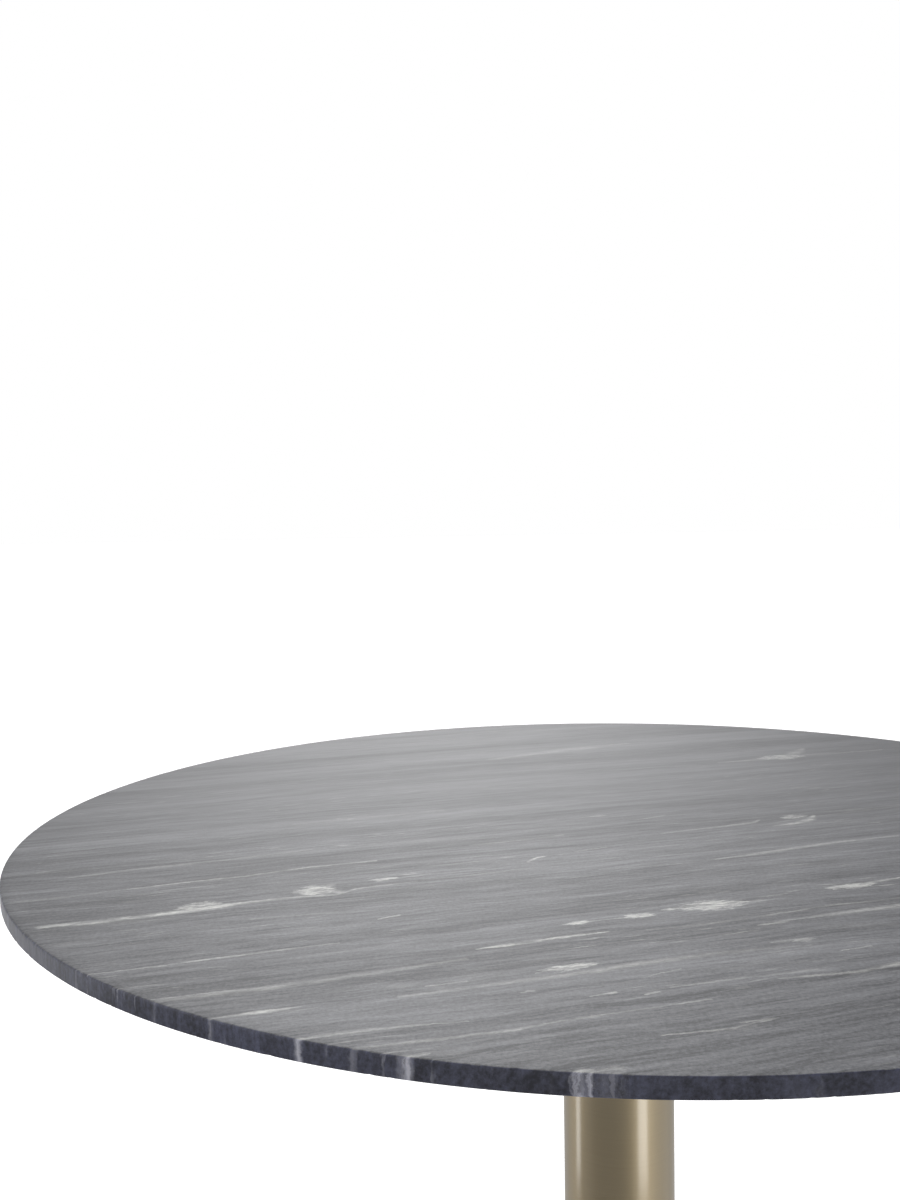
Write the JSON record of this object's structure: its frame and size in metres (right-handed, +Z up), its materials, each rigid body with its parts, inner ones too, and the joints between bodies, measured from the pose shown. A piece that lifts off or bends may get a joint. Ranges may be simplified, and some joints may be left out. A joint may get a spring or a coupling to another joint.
{
  "type": "round pedestal table",
  "caption": "Round dining table: thin dark veined stone disc on one satin champagne metal column, with a low round weighted base on levelling feet.",
  "frame": {"origin": "middle of the base at floor level, on the column's axis", "axes": "+Z up along the column; X and Y level, the stone's veins run about 16 degrees from +X towards +Y"},
  "size_m": [1.1998, 1.2, 0.75],
  "materials": {
    "stone": "honed dark grey marble with parallel pale veins",
    "champagne_metal": "satin brushed, champagne coloured",
    "board": "plywood, painted matt black",
    "black_steel": "fine-textured black powder coat",
    "cast_weight": "cast surface, painted matt black",
    "zinc": "bright zinc plated",
    "brass_insert": "plain turned",
    "silicone": "cured clear-grey silicone",
    "foam_tape": "closed-cell foam tape",
    "rubber": "matt black",
    "glide_plastic": "moulded, satin"
  },
  "bodies": {
    "table": {"table_top": "stone", "adhesive_pads": "silicone", "backing_board": "board", "threaded_inserts": "brass_insert", "top_plate": "black_steel", "top_locating_ring": "black_steel", "plate_screws": "zinc", "plate_washers": "zinc", "column_tube": "champagne_metal", "column_gasket": "rubber", "tie_rod": "zinc", "rod_bottom_nut": "zinc", "rod_bottom_washer": "zinc", "boss_washer": "zinc", "boss_nut": "zinc", "rod_top_washer": "zinc", "rod_top_nut": "zinc", "base_weight": "cast_weight", "cover_tape_rings": "foam_tape", "base_cover": "champagne_metal"},
    "levelling_foot_1_pad": {"levelling_foot_1_pad": "glide_plastic"},
    "levelling_foot_1_stud": {"levelling_foot_1_stud": "zinc"},
    "levelling_foot_2_pad": {"levelling_foot_2_pad": "glide_plastic"},
    "levelling_foot_2_stud": {"levelling_foot_2_stud": "zinc"},
    "levelling_foot_3_pad": {"levelling_foot_3_pad": "glide_plastic"},
    "levelling_foot_3_stud": {"levelling_foot_3_stud": "zinc"},
    "levelling_foot_4_pad": {"levelling_foot_4_pad": "glide_plastic"},
    "levelling_foot_4_stud": {"levelling_foot_4_stud": "zinc"}
  },
  "joints": [
    {"name": "foot_1_height", "type": "slide", "parent": "table", "child": "levelling_foot_1_pad", "axis": [0, 0, -1], "range_m": [0, 0.006]},
    {"name": "foot_1_turn", "type": "hinge", "parent": "levelling_foot_1_pad", "child": "levelling_foot_1_stud", "pos_m": [0.20506, 0.20506, 0.012], "axis": [0, 0, -1], "range_deg": [0, 1728.1]},
    {"name": "foot_2_height", "type": "slide", "parent": "table", "child": "levelling_foot_2_pad", "axis": [0, 0, -1], "range_m": [0, 0.006]},
    {"name": "foot_2_turn", "type": "hinge", "parent": "levelling_foot_2_pad", "child": "levelling_foot_2_stud", "pos_m": [-0.20506, 0.20506, 0.012], "axis": [0, 0, -1], "range_deg": [0, 1728.1]},
    {"name": "foot_3_height", "type": "slide", "parent": "table", "child": "levelling_foot_3_pad", "axis": [0, 0, -1], "range_m": [0, 0.006]},
    {"name": "foot_3_turn", "type": "hinge", "parent": "levelling_foot_3_pad", "child": "levelling_foot_3_stud", "pos_m": [-0.20506, -0.20506, 0.012], "axis": [0, 0, -1], "range_deg": [0, 1728.1]},
    {"name": "foot_4_height", "type": "slide", "parent": "table", "child": "levelling_foot_4_pad", "axis": [0, 0, -1], "range_m": [0, 0.006]},
    {"name": "foot_4_turn", "type": "hinge", "parent": "levelling_foot_4_pad", "child": "levelling_foot_4_stud", "pos_m": [0.20506, -0.20506, 0.012], "axis": [0, 0, -1], "range_deg": [0, 1728.1]}
  ],
  "couplings": [
    {"joint": "foot_1_turn", "follows": "foot_1_height", "rad_per_m": 5026.5},
    {"joint": "foot_2_turn", "follows": "foot_2_height", "rad_per_m": 5026.5},
    {"joint": "foot_3_turn", "follows": "foot_3_height", "rad_per_m": 5026.5},
    {"joint": "foot_4_turn", "follows": "foot_4_height", "rad_per_m": 5026.5}
  ]
}
